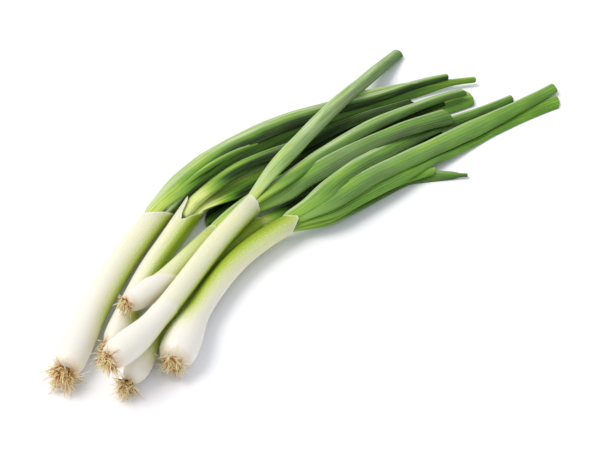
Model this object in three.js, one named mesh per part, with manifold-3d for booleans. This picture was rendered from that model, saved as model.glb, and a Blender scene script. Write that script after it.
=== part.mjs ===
// A bunch of six spring onions, trimmed and lying on a flat surface. Millimetres, +Z up.
// +X runs from the roots towards the leaf tips, +Y to the left of that.
// Each onion is a bulb with its white shank, a root plate with its roots, and its green leaves.
// The pieces are laid one after another, and each one comes to rest on those that lie below it.

import * as THREE from 'three';
import { mergeVertices } from 'three/addons/utils/BufferGeometryUtils.js';
import Module from 'manifold-3d';

const wasm = await Module();
wasm.setup();

// ---------------------------------------------------------------- driving dimensions

const GAP = 0.3; // clearance between pieces that touch
const PRESSED = 0.8; // depth of the underside that the surface presses flat
const SHANK_WEIGHT = 0.03; // how much a shank sags over its length, against its stiffness
const LEAF_WEIGHT = 0.25; // the same for a leaf, which is limper

const SHANK_SIDES = 16;
const SHANK_STEP = 14; // ring spacing along a straight shank
const SHEATH_WALL = 0.9; // the outermost leaf sheath, open at its mouth
const SOCKET_DEPTH = 7; // how far the leaves go down inside that mouth

const LEAF_SIDES = 8;
const LEAF_STEP = 12.5; // ring spacing along a leaf
const LEAF_ROOTED = 5; // length of leaf inside the sheath's mouth
const LEAF_STRAIGHT = 8; // length past the collar before a leaf begins to bend
const LEAF_WIDENS = 26; // length over which a leaf opens to its full width
const LEAF_WALL = 0.75; // leaves are hollow tubes, which shows at their cut ends
const LEAF_OPEN = 7; // depth of that hollow

const PLATE_SHARE = 0.62; // the root plate's radius, as a share of the bulb's
const PLATE_DOME = 2.2; // its height
const PLATE_SIDES = 10;
const ROOTS = 26; // roots on one plate
const ROOT_RADIUS = 0.55;
const ROOT_TIP = 0.3;
const ROOT_SPREAD = 60; // how far the outermost roots lean outwards, in degrees
const ROOT_TRIES = 15; // other places tried for a root that would run into something

// Each onion: its plan route from the root plate to the mouth of the sheath, its radii, where along
// the route the bulb is widest and where it has narrowed to the neck, the length of its roots, and
// its collar, the sheath's free edge: a pointed tip of the given height at an angle round the mouth.
// fan is the direction in which its leaves stand side by side, 0 to the left and 90 upwards.
// Each leaf, in the order of laying: its place in the fan, its plan route past the mouth, its full
// width and thickness, and its width at the cut end. A leaf with a roll keeps that turn about its
// length; the others roll to where they lie lowest.
const ONIONS = {
  onion_1: {
    route: [[-161, -7], [-146, 4], [-123, 20], [-98, 34], [-80, 42.5], [-60.5, 51]],
    bulb: 8.9, neck: 8.1, mouth: 6.8, widest: 14, necked: 40, roots: 15,
    collar: { tip: 5, at: -60 }, fan: 25,
    leaves: [
      {
        place: 0, width: 11, thick: 2.6, end: 5, roll: 60,
        route: [
          [-38, 53], [-17, 56], [8, 58], [35, 57], [54, 55], [80, 51], [107, 45], [139, 32], [158, 21],
        ],
      },
      {
        place: 1, width: 4.5, thick: 1.8, end: 3,
        route: [[-40, 54], [-25, 56], [-12, 57], [1, 58], [18, 57]],
      },
      {
        place: 2, width: 10.5, thick: 3.8, end: 5.5,
        route: [
          [-45, 59], [-27, 62], [-5, 65], [16, 65], [36, 61], [62, 54], [90, 46], [126, 37], [144, 30],
        ],
      },
    ],
  },
  onion_2: {
    route: [[-134, -6], [-123, -0.5], [-107, 10], [-87, 22], [-69, 30], [-45, 41]],
    bulb: 6.4, neck: 6, mouth: 6.7, widest: 12, necked: 34, roots: 9,
    collar: { tip: 8, at: 100 }, fan: 35,
    leaves: [
      {
        place: 0, width: 11, thick: 3.6, end: 8,
        route: [[-28, 43], [-9, 44], [9, 43], [21, 42], [45, 38], [69, 35], [94, 28], [128, 21]],
      },
      {
        place: 1, width: 8.5, thick: 3.2, end: 7,
        route: [[-28, 46], [-12, 49], [6, 50], [24, 47], [48, 42], [72, 40], [94, 36], [116, 32]],
      },
    ],
  },
  onion_3: {
    route: [[-116, 0.5], [-104, 1], [-90, 4.5], [-74, 10], [-47, 19]],
    bulb: 6.5, neck: 4.9, mouth: 5, widest: 10, necked: 28, roots: 7,
    collar: { tip: 4, at: 90 }, fan: 60,
    leaves: [
      {
        place: 0, width: 8, thick: 3, end: 7,
        route: [[-25, 22], [25, 24], [63, 21], [100, 14]],
      },
      {
        place: 1, width: 8, thick: 3.2, end: 12,
        route: [[-24, 25], [2, 28], [25, 29], [65, 30], [93, 26], [125, 18], [147, 13]],
      },
    ],
  },
  onion_4: {
    route: [[-147, -27], [-134, -25.5], [-120, -22], [-102, -15], [-75, -3], [-49, 7.5], [-22.5, 16]],
    bulb: 8.2, neck: 5.8, mouth: 5.6, widest: 13, necked: 34, roots: 12,
    collar: { tip: 6, at: 60 }, fan: 50,
    leaves: [
      {
        place: 0, width: 13.5, thick: 3, end: 12,
        route: [[-5, 14], [12, 15], [45, 16], [63, 15], [81, 13], [99, 10], [120, 5]],
      },
      {
        place: 1, width: 9, thick: 3.2, end: 6,
        route: [[-4, 19], [11, 22], [38, 27], [57, 28], [75, 28], [93, 26], [126, 20], [142, 15]],
      },
      {
        place: 2, width: 10.5, thick: 3.6, end: 11,
        route: [[-4, 25], [10, 31], [37, 40], [62, 47], [95, 55], [119, 64], [143, 72]],
      },
    ],
  },
  onion_5: {
    route: [[-142, -33], [-131, -27.5], [-100, -8.5], [-60, 4], [-42, 7.5], [-25, 10]],
    bulb: 7.2, neck: 5, mouth: 5.4, widest: 12, necked: 34, roots: 9,
    collar: { tip: 5, at: 90 }, fan: 80,
    leaves: [
      {
        place: 0, width: 11, thick: 3.4, end: 7,
        route: [[-8, 10], [9, 11], [39, 11], [68, 9], [111, 3]],
      },
    ],
  },
  onion_6: {
    route: [
      [-117, -38.5], [-110, -34], [-100, -27.5], [-85, -19], [-68, -11.5], [-50, -5.5], [-33, -3],
      [-12, -2.5],
    ],
    bulb: 10.4, neck: 6.4, mouth: 5.4, widest: 11, necked: 34, roots: 10,
    collar: { tip: 6, at: -40 }, fan: 60,
    leaves: [
      {
        place: 0, width: 7, thick: 2.2, end: 1.6,
        route: [[8, -13], [40, -14], [66, -16], [81, -22], [96, -34]],
      },
      {
        place: 1, width: 9.5, thick: 2.4, end: 7,
        route: [[8, -12], [34, -12], [48, -12], [60, -14], [72, -17], [84, -20]],
      },
      {
        place: 2, width: 10, thick: 2.4, end: 9,
        route: [[8, -11], [33, -12], [59, -13], [87, -12], [108, -13], [134, -14], [157, -17], [184, -23]],
      },
      {
        place: 3, width: 11, thick: 2.6, end: 7,
        route: [[8, -9], [39, -7], [72, -7], [110, -9], [137, -11], [176, -14], [190, -14]],
      },
      {
        place: 4, width: 11, thick: 2.6, end: 6,
        route: [[8, -4], [25, 0], [38, 2], [64, 5], [85, 6], [105, 6], [127, 3], [150, -1], [165, -3]],
      },
    ],
  },
};

// The order of laying, from the surface upwards.
const LAYING = [
  ['shank', 'onion_1'],
  ['shank', 'onion_2'],
  ['shank', 'onion_5'],
  ['shank', 'onion_6'],
  ['leaves', 'onion_5'],
  ['leaves', 'onion_1'],
  ['shank', 'onion_3'],
  ['leaves', 'onion_3'],
  ['leaves', 'onion_2'],
  ['leaves', 'onion_6'],
  ['shank', 'onion_4'],
  ['leaves', 'onion_4'],
];

const MATERIALS = {
  bulb: new THREE.MeshStandardMaterial({ color: 0xf0eedc, roughness: 0.35, metalness: 0 }),
  leaf: new THREE.MeshStandardMaterial({ color: 0x6f9c3f, roughness: 0.45, metalness: 0 }),
  roots: new THREE.MeshStandardMaterial({ color: 0xcfab6c, roughness: 0.8, metalness: 0 }),
};

// ---------------------------------------------------------------- small helpers

const UP = new THREE.Vector3(0, 0, 1);
const clamp01 = (t) => Math.min(1, Math.max(0, t));
const smooth = (from, to, value) => THREE.MathUtils.smoothstep(value, from, to);
const mix = (a, b, t) => a + (b - a) * t;
const radians = THREE.MathUtils.degToRad;

// Seeded random numbers, the same on every run.
function randomFrom(seed) {
  let state = seed;
  return () => {
    state = (state * 1664525 + 1013904223) % 4294967296;
    return state / 4294967296;
  };
}

// A smooth curve through the points of a plan route.
function planCurve(route) {
  const points = route.map(([x, y]) => new THREE.Vector3(x, y, 0));
  const curve = new THREE.CatmullRomCurve3(points, false, 'centripetal');
  curve.arcLengthDivisions = 800;
  return curve;
}

// ---------------------------------------------------------------- the pile so far

// The height of the highest surface laid so far, over a grid of the plan.
const CELL = 0.5;
const REACH = { x: 240, y: 120 };
const COLUMNS = (2 * REACH.x) / CELL;
const ROWS = (2 * REACH.y) / CELL;
const pileTop = new Float32Array(COLUMNS * ROWS).fill(-PRESSED);

const cellOf = (x, y) => Math.floor((y + REACH.y) / CELL) * COLUMNS + Math.floor((x + REACH.x) / CELL);
const topAt = (x, y) => pileTop[cellOf(x, y)];

function raiseTop(x, y, z) {
  for (const dx of [-CELL / 2, CELL / 2]) {
    for (const dy of [-CELL / 2, CELL / 2]) {
      const cell = cellOf(x + dx, y + dy);
      pileTop[cell] = Math.max(pileTop[cell], z);
    }
  }
}

// A section is an ellipse of half width a and half thickness b, turned by roll about the strand.
// edgeHeight is its upper (side 1) or lower (side -1) edge above its centre, across from it.
const reachAcross = ({ a, b, roll }) => Math.hypot(a * Math.cos(roll), b * Math.sin(roll));

function edgeHeight({ a, b, roll }, across, side) {
  const reach = reachAcross({ a, b, roll });
  const lean = across * (a * a - b * b) * Math.sin(roll) * Math.cos(roll);
  return (lean + side * a * b * Math.sqrt(Math.max(0, reach * reach - across * across))) / (reach * reach);
}

// The lowest that a section's centre can lie over the pile.
function restingHeight(sample, roll) {
  const section = { a: sample.a + GAP, b: sample.b + GAP, roll };
  const reach = reachAcross(section);
  const steps = Math.ceil(reach / CELL) * 2;
  let height = -Infinity;
  for (let i = 0; i <= steps; i++) {
    const across = mix(-reach, reach, i / steps);
    const top = topAt(sample.x + sample.left.x * across, sample.y + sample.left.y * across);
    height = Math.max(height, top - edgeHeight(section, across, -1));
  }
  return height;
}

// ---------------------------------------------------------------- laying one strand

const SAMPLES_PER_KNOT = 5;
const KNOT_STEP = 12.5; // the unit of length in which a strand's bending is reckoned
const ROLL_LIMIT = 50;
const ROLL_STEP = 5;
const ROLL_COST = 0.015; // height that a degree of roll has to save
const SWEEPS = 12000;
const OVER_RELAX = 1.6;

// The value at x on the straight lines through the points of xs and ys.
function interpolate(xs, ys, x) {
  const next = xs.findIndex((value) => value > x);
  if (next === 0) return ys[0];
  if (next < 0) return ys.at(-1);
  return mix(ys[next - 1], ys[next], (x - xs[next - 1]) / (xs[next] - xs[next - 1]));
}

// A bending strand on obstacles: the height of each knot gives way to the strand's stiffness and
// weight, but never to below its support. The first heights are those held, if any.
function settle(knots, supports, held, weight) {
  const heights = supports.map((support, i) => held[i] ?? Math.max(...supports));
  const last = knots.length - 1;
  const bends = knots.map((_, i) => {
    if (i === 0 || i === last) return null;
    const before = (knots[i] - knots[i - 1]) / KNOT_STEP;
    const after = (knots[i + 1] - knots[i]) / KNOT_STEP;
    const span = before + after;
    return { before: 2 / (before * span), after: 2 / (after * span), span: span / 2 };
  });
  for (let sweep = 0; sweep < SWEEPS; sweep++) {
    for (let k = held.length; k <= last; k++) {
      let pull = weight;
      let stiffness = 0;
      for (let i = Math.max(1, k - 1); i <= Math.min(last - 1, k + 1); i++) {
        const { before, after, span } = bends[i];
        const middle = -before - after;
        const bend = before * heights[i - 1] + middle * heights[i] + after * heights[i + 1];
        const share = [after, middle, before][i - k + 1];
        pull += span * bend * share;
        stiffness += span * share * share;
      }
      heights[k] = Math.max(supports[k], heights[k] - (OVER_RELAX * pull) / stiffness);
    }
  }
  return heights;
}

// Lays a strand along its plan route, and raises the pile by it. knots are the distances along the
// route at which it bends, stations those of its rings, sectionAt gives the half width and half
// thickness at a distance and rollAt the roll. held gives the heights of the first knots where
// something holds them, free is the length that the pile doesn't carry, and weight is how much the
// strand sags. Returns its rings, each with its centre and frame.
function lay({ route, knots, stations, sectionAt, rollAt, held = [], free = -1, weight }) {
  const plan = planCurve(route);
  const length = plan.getLength();
  const sampleAt = (s) => {
    const point = plan.getPointAt(clamp01(s / length));
    const along = plan.getTangentAt(clamp01(s / length));
    return { s, x: point.x, y: point.y, left: new THREE.Vector3(-along.y, along.x, 0), ...sectionAt(s) };
  };
  const samples = [];
  for (let i = 0; i < knots.length - 1; i++) {
    for (let k = 0; k < SAMPLES_PER_KNOT; k++) {
      samples.push(sampleAt(mix(knots[i], knots[i + 1], k / SAMPLES_PER_KNOT)));
    }
  }
  samples.push(sampleAt(knots.at(-1)));

  // Each sample rolls to where it lies lowest, then the roll is evened out along the strand.
  const lowest = samples.map((sample) => {
    let best = { roll: 0, cost: Infinity };
    for (let degrees = -ROLL_LIMIT; degrees <= ROLL_LIMIT; degrees += ROLL_STEP) {
      const cost = restingHeight(sample, radians(degrees)) + ROLL_COST * Math.abs(degrees);
      if (cost < best.cost) best = { roll: radians(degrees), cost };
    }
    return best.roll;
  });
  samples.forEach((sample, i) => {
    const near = lowest.slice(Math.max(0, i - 12), i + 13);
    sample.roll = rollAt(sample.s, near.reduce((sum, roll) => sum + roll, 0) / near.length);
    sample.rest = sample.s < free ? GAP : restingHeight(sample, sample.roll);
  });

  const supports = knots.map((_, i) => {
    const first = (i - 0.7) * SAMPLES_PER_KNOT;
    const last = (i + 0.7) * SAMPLES_PER_KNOT;
    return Math.max(...samples.filter((_, k) => k >= first && k <= last).map(({ rest }) => rest));
  });
  const heights = settle(knots, supports, held, weight);

  samples.forEach((sample, k) => {
    const next = samples[Math.min(k + 1, samples.length - 1)];
    const strips = Math.max(1, Math.ceil(Math.hypot(next.x - sample.x, next.y - sample.y) / CELL));
    const section = { a: sample.a + GAP, b: sample.b + GAP, roll: sample.roll };
    const reach = reachAcross(section);
    const steps = Math.ceil(reach / CELL) * 3;
    const z = interpolate(knots, heights, sample.s);
    for (let strip = 0; strip < strips; strip++) {
      for (let j = 0; j <= steps; j++) {
        const across = mix(-reach, reach, j / steps);
        const x = mix(sample.x, next.x, strip / strips) + sample.left.x * across;
        const y = mix(sample.y, next.y, strip / strips) + sample.left.y * across;
        raiseTop(x, y, z + edgeHeight(section, across, 1));
      }
    }
  });

  const distances = samples.map(({ s }) => s);
  const rolls = samples.map(({ roll }) => roll);
  const rings = stations.map((s) => {
    const { x, y, a, b } = sampleAt(s);
    const centre = new THREE.Vector3(x, y, interpolate(knots, heights, s));
    return { a, b, roll: interpolate(distances, rolls, s), centre };
  });
  rings.forEach((ring, i) => {
    const before = rings[Math.max(0, i - 1)].centre;
    const after = rings[Math.min(rings.length - 1, i + 1)].centre;
    ring.along = after.clone().sub(before).normalize();
    ring.left = UP.clone().cross(ring.along).normalize();
    ring.over = ring.along.clone().cross(ring.left);
  });
  return rings;
}

// ---------------------------------------------------------------- solids from rings

// The points of a ring: an ellipse in the ring's frame, shifted along the strand by ahead(angle).
// Points that would lie below the surface are pressed flat on it.
function ringPoints(ring, sides, a, b, ahead = () => 0) {
  const { centre, along, left, over, roll } = ring;
  return Array.from({ length: sides }, (_, i) => {
    const angle = (2 * Math.PI * (i + 0.5)) / sides;
    const across = a * Math.cos(angle) * Math.cos(roll) - b * Math.sin(angle) * Math.sin(roll);
    const above = a * Math.cos(angle) * Math.sin(roll) + b * Math.sin(angle) * Math.cos(roll);
    const point = centre.clone().addScaledVector(left, across).addScaledVector(over, above);
    point.addScaledVector(along, ahead(angle + roll));
    point.z = Math.max(0, point.z);
    return point;
  });
}

// The closed surface through rings of equally many points, capped at both ends.
function loft(rings) {
  const sides = rings[0].length;
  const faces = [];
  for (let r = 0; r < rings.length - 1; r++) {
    for (let i = 0; i < sides; i++) {
      const j = (i + 1) % sides;
      const [p, q, u, v] = [r * sides + i, r * sides + j, (r + 1) * sides + i, (r + 1) * sides + j];
      faces.push(p, q, v, p, v, u);
    }
  }
  const last = (rings.length - 1) * sides;
  for (let i = 1; i < sides - 1; i++) {
    faces.push(0, i + 1, i, last, last + i, last + i + 1);
  }
  const geometry = new THREE.BufferGeometry().setFromPoints(rings.flat());
  geometry.setIndex(faces);
  return geometry;
}

function solidOf(geometry) {
  const merged = mergeVertices(geometry, 1e-4);
  return new wasm.Manifold(new wasm.Mesh({
    numProp: 3,
    vertProperties: merged.attributes.position.array,
    triVerts: new Uint32Array(merged.index.array),
  }));
}

function geometryOf(solid) {
  const { vertProperties, triVerts } = solid.getMesh();
  const geometry = new THREE.BufferGeometry();
  geometry.setAttribute('position', new THREE.BufferAttribute(vertProperties, 3));
  geometry.setIndex(new THREE.BufferAttribute(triVerts, 1));
  return geometry;
}

function meshOf(name, geometry, material) {
  const flat = geometry.toNonIndexed();
  flat.computeVertexNormals();
  const mesh = new THREE.Mesh(flat, material);
  mesh.name = name;
  return mesh;
}

// ---------------------------------------------------------------- bulb and shank

// Radius of the bulb and shank at a distance from the root plate.
function shankRadius({ bulb, neck, mouth, widest, necked }, s, length) {
  if (s < widest) {
    const rise = 1 - s / widest;
    return mix(PLATE_SHARE * bulb, bulb, Math.sqrt(1 - rise * rise));
  }
  if (s < necked) return mix(neck, bulb, 0.5 + 0.5 * Math.cos((Math.PI * (s - widest)) / (necked - widest)));
  return mix(neck, mouth, (s - necked) / (length - necked));
}

function shankStations({ widest, necked }, length) {
  const bulbPart = [0, 0.07, 0.25, 0.55].map((share) => share * widest);
  const neckPart = [0, 0.25, 0.5, 0.75].map((share) => mix(widest, necked, share));
  const count = Math.round((length - necked) / SHANK_STEP);
  const straightPart = Array.from({ length: count + 1 }, (_, i) => mix(necked, length, i / count));
  return [...bulbPart, ...neckPart, ...straightPart];
}

function layShank(onion) {
  const { route } = onion;
  const length = planCurve(route).getLength();
  const sectionAt = (s) => {
    const radius = shankRadius(onion, s, length);
    return { a: radius, b: radius };
  };
  const spaces = Math.round(length / KNOT_STEP);
  const knots = Array.from({ length: spaces + 1 }, (_, i) => (length * i) / spaces);
  const stations = shankStations(onion, length);
  return lay({ route, knots, stations, sectionAt, rollAt: () => 0, weight: SHANK_WEIGHT });
}

// The solid: the lofted bulb and shank, with the collar round its mouth and the socket inside it.
function shankSolid(onion, rings) {
  const { tip, at } = onion.collar;
  const collar = (angle) => tip * Math.pow(0.5 + 0.5 * Math.cos(angle - radians(at)), 3);
  const outside = rings.slice(0, -1).map((ring) => ringPoints(ring, SHANK_SIDES, ring.a, ring.b));
  const end = rings.at(-1);
  const inner = onion.mouth - SHEATH_WALL;
  const floor = { ...end, centre: end.centre.clone().addScaledVector(end.along, -SOCKET_DEPTH) };
  return loft([
    ...outside,
    ringPoints(end, SHANK_SIDES, end.a, end.b, collar),
    ringPoints(end, SHANK_SIDES, inner, inner, collar),
    ringPoints(floor, SHANK_SIDES, inner, inner),
  ]);
}

// ---------------------------------------------------------------- leaves

// The leaves of an onion fill its socket as strips side by side, place 0 at the low end of the fan.
// Beyond the mouth each opens to its own width and follows its route.
function layLeaf(onion, shankRings, leaf) {
  const end = shankRings.at(-1);
  const room = onion.mouth - SHEATH_WALL - GAP;
  const count = onion.leaves.length;
  const strip = (2 * room) / count;
  const offset = -room + strip * (leaf.place + 0.5);
  const half = strip / 2 - GAP / 2;
  const rooted = { a: Math.sqrt(room * room - (Math.abs(offset) + half / 2) ** 2), b: half };
  const fan = radians(onion.fan);
  const base = end.centre.clone()
    .addScaledVector(end.left, offset * Math.cos(fan))
    .addScaledVector(end.over, offset * Math.sin(fan));
  const start = [-LEAF_ROOTED, 0, onion.collar.tip].map((s) => base.clone().addScaledVector(end.along, s));
  const route = [...start.map(({ x, y }) => [x, y]), ...leaf.route];
  const length = planCurve(route).getLength();
  const clear = LEAF_ROOTED + onion.collar.tip;
  const straight = clear + LEAF_STRAIGHT;
  const spaces = Math.round((length - straight) / LEAF_STEP);
  const beyond = Array.from({ length: spaces + 1 }, (_, i) => mix(straight, length, i / spaces));
  const sectionAt = (s) => {
    const opened = smooth(clear, clear + LEAF_WIDENS, s);
    const narrowed = smooth(0.45 * length, length, s);
    return {
      a: mix(rooted.a, mix(leaf.width, leaf.end, narrowed) / 2, opened),
      b: mix(rooted.b, (leaf.thick / 2) * mix(1, 0.8, narrowed), opened),
    };
  };
  const rollAt = (s, lowest) => {
    const own = leaf.roll === undefined ? lowest : radians(leaf.roll);
    const halfTurns = Math.round((own - (fan - Math.PI / 2)) / Math.PI);
    return mix(fan - Math.PI / 2 + halfTurns * Math.PI, own, smooth(LEAF_ROOTED, straight + 40, s));
  };
  const stations = [0, LEAF_ROOTED, clear, ...beyond];
  return lay({
    route,
    knots: stations,
    stations,
    sectionAt,
    rollAt,
    held: start.map(({ z }) => z),
    free: clear + 3,
    weight: LEAF_WEIGHT,
  });
}

// The solid: the lofted blade, with the tube's hollow at its cut end where it is wide enough.
function leafSolid(rings) {
  const outside = rings.map((ring) => ringPoints(ring, LEAF_SIDES, ring.a, ring.b));
  const end = rings.at(-1);
  if (end.b < 2 * LEAF_WALL || end.a < 3 * LEAF_WALL) return loft(outside);
  const [a, b] = [end.a - LEAF_WALL, end.b - LEAF_WALL];
  const floor = { ...end, centre: end.centre.clone().addScaledVector(end.along, -LEAF_OPEN) };
  return loft([...outside, ringPoints(end, LEAF_SIDES, a, b), ringPoints(floor, LEAF_SIDES, a, b)]);
}

// ---------------------------------------------------------------- roots

// A thin strand through the given points, tapering to its tip, three-sided.
function rootSolid(points, extra = 0) {
  return solidOf(loft(points.map((centre, i) => {
    const before = points[Math.max(0, i - 1)];
    const after = points[Math.min(points.length - 1, i + 1)];
    const along = after.clone().sub(before).normalize();
    const left = new THREE.Vector3(0.3, 0.2, 1).cross(along).normalize();
    const over = along.clone().cross(left);
    const radius = mix(ROOT_RADIUS, ROOT_TIP, i / (points.length - 1)) + extra;
    return ringPoints({ centre, along, left, over, roll: 0 }, 3, radius, radius);
  })));
}

// The root plate with its roots in one solid. A root that would run into the solids given as
// others, or come nearer to them than the gap, tries another direction.
function rootsSolid(onion, rings, others, random) {
  const { centre, along, left, over } = rings[0];
  const radius = PLATE_SHARE * onion.bulb;
  const profile = [[-PLATE_DOME, 0.6], [-0.6 * PLATE_DOME, 0.88], [-GAP, 0.97]];
  const plate = profile.map(([s, share]) => {
    const ring = { ...rings[0], centre: centre.clone().addScaledVector(along, s) };
    return ringPoints(ring, PLATE_SIDES, share * radius, share * radius);
  });
  const pieces = [solidOf(loft(plate))];
  for (let i = 0; i < ROOTS; i++) {
    for (let attempt = 0; attempt < ROOT_TRIES; attempt++) {
      const turn = 2 * Math.PI * random();
      const out = 0.85 * Math.sqrt(random());
      const lean = radians(ROOT_SPREAD) * (out + 0.3 * (random() - 0.5));
      const length = onion.roots * mix(0.65, 1.05, random());
      const outwards = left.clone().multiplyScalar(Math.cos(turn)).addScaledVector(over, Math.sin(turn));
      const first = along.clone().multiplyScalar(-Math.cos(lean)).addScaledVector(outwards, Math.sin(lean));
      const second = first.clone().add(new THREE.Vector3(0, 0, mix(-1.2, -0.2, random()))).normalize();
      const foot = centre.clone().addScaledVector(along, -1.3).addScaledVector(outwards, out * radius);
      const middle = foot.clone().addScaledVector(first, 0.5 * length);
      const tip = middle.clone().addScaledVector(second, 0.5 * length);
      middle.z = Math.max(2 * ROOT_RADIUS, middle.z);
      tip.z = Math.max(2 * ROOT_RADIUS, tip.z);
      if (!rootSolid([foot, middle, tip], GAP).intersect(others).isEmpty()) continue;
      pieces.push(rootSolid([foot, middle, tip]));
      break;
    }
  }
  return wasm.Manifold.union(pieces);
}

// ---------------------------------------------------------------- the bunch

const bunch = new THREE.Group();
const laid = {};
const shanks = [];
for (const [part, name] of LAYING) {
  const onion = ONIONS[name];
  if (part === 'shank') {
    laid[name] = layShank(onion);
    const geometry = shankSolid(onion, laid[name]);
    shanks.push(solidOf(geometry));
    bunch.add(meshOf(`${name}_bulb`, geometry, MATERIALS.bulb));
    continue;
  }
  onion.leaves.forEach((leaf, index) => {
    const leafName = `${name}_leaf_${index + 1}`;
    laid[leafName] = layLeaf(onion, laid[name], leaf);
    bunch.add(meshOf(leafName, leafSolid(laid[leafName]), MATERIALS.leaf));
  });
}

const random = randomFrom(7);
let taken = wasm.Manifold.union(shanks);
for (const name of Object.keys(ONIONS)) {
  const roots = rootsSolid(ONIONS[name], laid[name], taken, random);
  taken = taken.add(roots);
  bunch.add(meshOf(`${name}_roots`, geometryOf(roots), MATERIALS.roots));
}

// The bunch's own frame: its origin lies at the middle of the underside of its bounding box.
const box = new THREE.Box3().setFromObject(bunch);
const middle = box.getCenter(new THREE.Vector3());
bunch.position.set(-middle.x, -middle.y, -box.min.z);

export default bunch;
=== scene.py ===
"""A bunch of six spring onions, lying loose on a white surface."""

import math
import random

import bmesh
import bpy
import numpy as np
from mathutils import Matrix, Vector


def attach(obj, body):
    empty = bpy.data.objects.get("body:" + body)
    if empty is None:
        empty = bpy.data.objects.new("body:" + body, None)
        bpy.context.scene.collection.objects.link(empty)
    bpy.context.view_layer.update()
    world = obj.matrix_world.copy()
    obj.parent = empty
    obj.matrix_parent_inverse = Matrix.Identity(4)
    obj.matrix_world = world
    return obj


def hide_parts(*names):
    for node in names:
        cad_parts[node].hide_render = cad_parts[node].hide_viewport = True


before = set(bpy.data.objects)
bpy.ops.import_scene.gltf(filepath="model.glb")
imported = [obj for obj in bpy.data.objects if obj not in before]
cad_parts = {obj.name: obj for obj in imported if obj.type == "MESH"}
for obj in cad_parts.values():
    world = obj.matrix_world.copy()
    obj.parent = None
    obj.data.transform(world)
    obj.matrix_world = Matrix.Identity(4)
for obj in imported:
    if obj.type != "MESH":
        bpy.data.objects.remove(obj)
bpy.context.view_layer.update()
scene = bpy.context.scene

# ------------------------------------------------------------------------------------------
# The surface, the light and the camera: a white table in a bright, soft studio, lit from the
# far left, and seen from above the roots, with a long lens.
# ------------------------------------------------------------------------------------------

MM = 0.001


def linear(hex_colour):
    """The linear colour of an sRGB hex value such as "f4f1e6"."""
    channels = [int(hex_colour[i : i + 2], 16) / 255 for i in (0, 2, 4)]
    return [c / 12.92 if c <= 0.04045 else ((c + 0.055) / 1.055) ** 2.4 for c in channels] + [1]


def add_node(tree, kind, settings=None, **links):
    """Adds a node. settings are its attributes, and links are values or sockets for its inputs,
    which are called i0, i1 and so on where the names of several are alike."""
    node = tree.nodes.new(kind)
    for key, value in (settings or {}).items():
        setattr(node, key, value)
    for key, value in links.items():
        numbered = key[0] == "i" and key[1:].isdigit()
        socket = node.inputs[int(key[1:]) if numbered else key.replace("_", " ")]
        if isinstance(value, bpy.types.NodeSocket):
            tree.links.new(value, socket)
        else:
            socket.default_value = value
    return node


def new_material(name):
    """A material with an empty tree, and its Principled shader."""
    material = bpy.data.materials.new(name)
    material.use_nodes = True
    tree = material.node_tree
    tree.nodes.clear()
    shader = add_node(tree, "ShaderNodeBsdfPrincipled")
    add_node(tree, "ShaderNodeOutputMaterial", Surface=shader.outputs[0])
    return material, tree, shader


TABLE_SIZE = 6.0
TABLE_GAP = 0.2 * MM  # between the table and what lies on it, so that they don't cut each other

# White matt paint: bright and nearly without gloss, so that only soft shadows show on it.
table_paint, tree, shader = new_material("white_matt_paint")
shader.inputs["Base Color"].default_value = linear("fafafb")
shader.inputs["Roughness"].default_value = 0.7
shader.inputs["Specular IOR Level"].default_value = 0.2

bm = bmesh.new()
bmesh.ops.create_grid(bm, x_segments=1, y_segments=1, size=TABLE_SIZE / 2)
bmesh.ops.translate(bm, verts=bm.verts, vec=(0, 0, -TABLE_GAP))
table_mesh = bpy.data.meshes.new("table")
bm.to_mesh(table_mesh)
bm.free()
table = bpy.data.objects.new("table", table_mesh)
table.data.materials.append(table_paint)
scene.collection.objects.link(table)

world = bpy.data.worlds.new("studio")
scene.world = world
world.use_nodes = True
world.node_tree.nodes["Background"].inputs["Color"].default_value = linear("f2f5ff")
world.node_tree.nodes["Background"].inputs["Strength"].default_value = 0.78

KEY_FROM = Vector((-0.45, 0.55, 1.25))
key = bpy.data.lights.new("key", "SUN")
key.energy = 1.7
key.angle = math.radians(32)  # as large as a soft box close by
key.color = linear("fffaf2")[:3]
holder = bpy.data.objects.new("key", key)
holder.rotation_euler = (-KEY_FROM).to_track_quat("-Z", "Y").to_euler()
scene.collection.objects.link(holder)

AZIMUTH, ELEVATION = math.radians(-41), math.radians(45)
DISTANCE = 0.9
AIM = Vector((-5.8, -13.1, 0)) * MM
LENS, SENSOR = 98.2, 36
back = Vector(
    (
        math.sin(AZIMUTH) * math.cos(ELEVATION),
        -math.cos(AZIMUTH) * math.cos(ELEVATION),
        math.sin(ELEVATION),
    )
)
camera = bpy.data.objects.new("camera", bpy.data.cameras.new("camera"))
camera.data.lens = LENS
camera.data.sensor_width = SENSOR
camera.data.clip_start = 0.01
camera.location = AIM + back * DISTANCE
camera.rotation_euler = (-back).to_track_quat("-Z", "Y").to_euler()
scene.collection.objects.link(camera)
scene.camera = camera
scene.view_settings.view_transform = "Standard"

# ------------------------------------------------------------------------------------------
# The bulbs and their shanks: leaf sheaths wrapped tightly round each other, white below and
# yellow-green towards the leaves, with fine ribs along them. The outermost sheath ends in a
# thin, torn rim, the mouth, from which the leaves come out.
# ------------------------------------------------------------------------------------------

UP = np.array([0.0, 0.0, 1.0])
STATION = 4 * MM  # spacing of the cuts through a solid
BLUNT = 5 * MM  # length at a solid's ends over which a cut across isn't whole
ROUNDER = {"shank": 1.01, "leaf": 1.04}  # the solids' sections are polygons inside the true ones
SECTION_REACH = 22 * MM  # what is cut farther off belongs to another stretch of the solid
END_REACH = 12 * MM  # corners this close to an end of the middle line belong to that end
CALIPER_STEP = 15  # degrees between the ways in which a section is measured
THINNEST_SQUARED = 1e-7  # the square of the least thickness, in square metres
FEWEST_POINTS = 6  # with which a section can be measured
PASSES = 5  # how often the middle line is moved into the middle
EVENING = 1.5  # how far values are evened out, in stations


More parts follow.
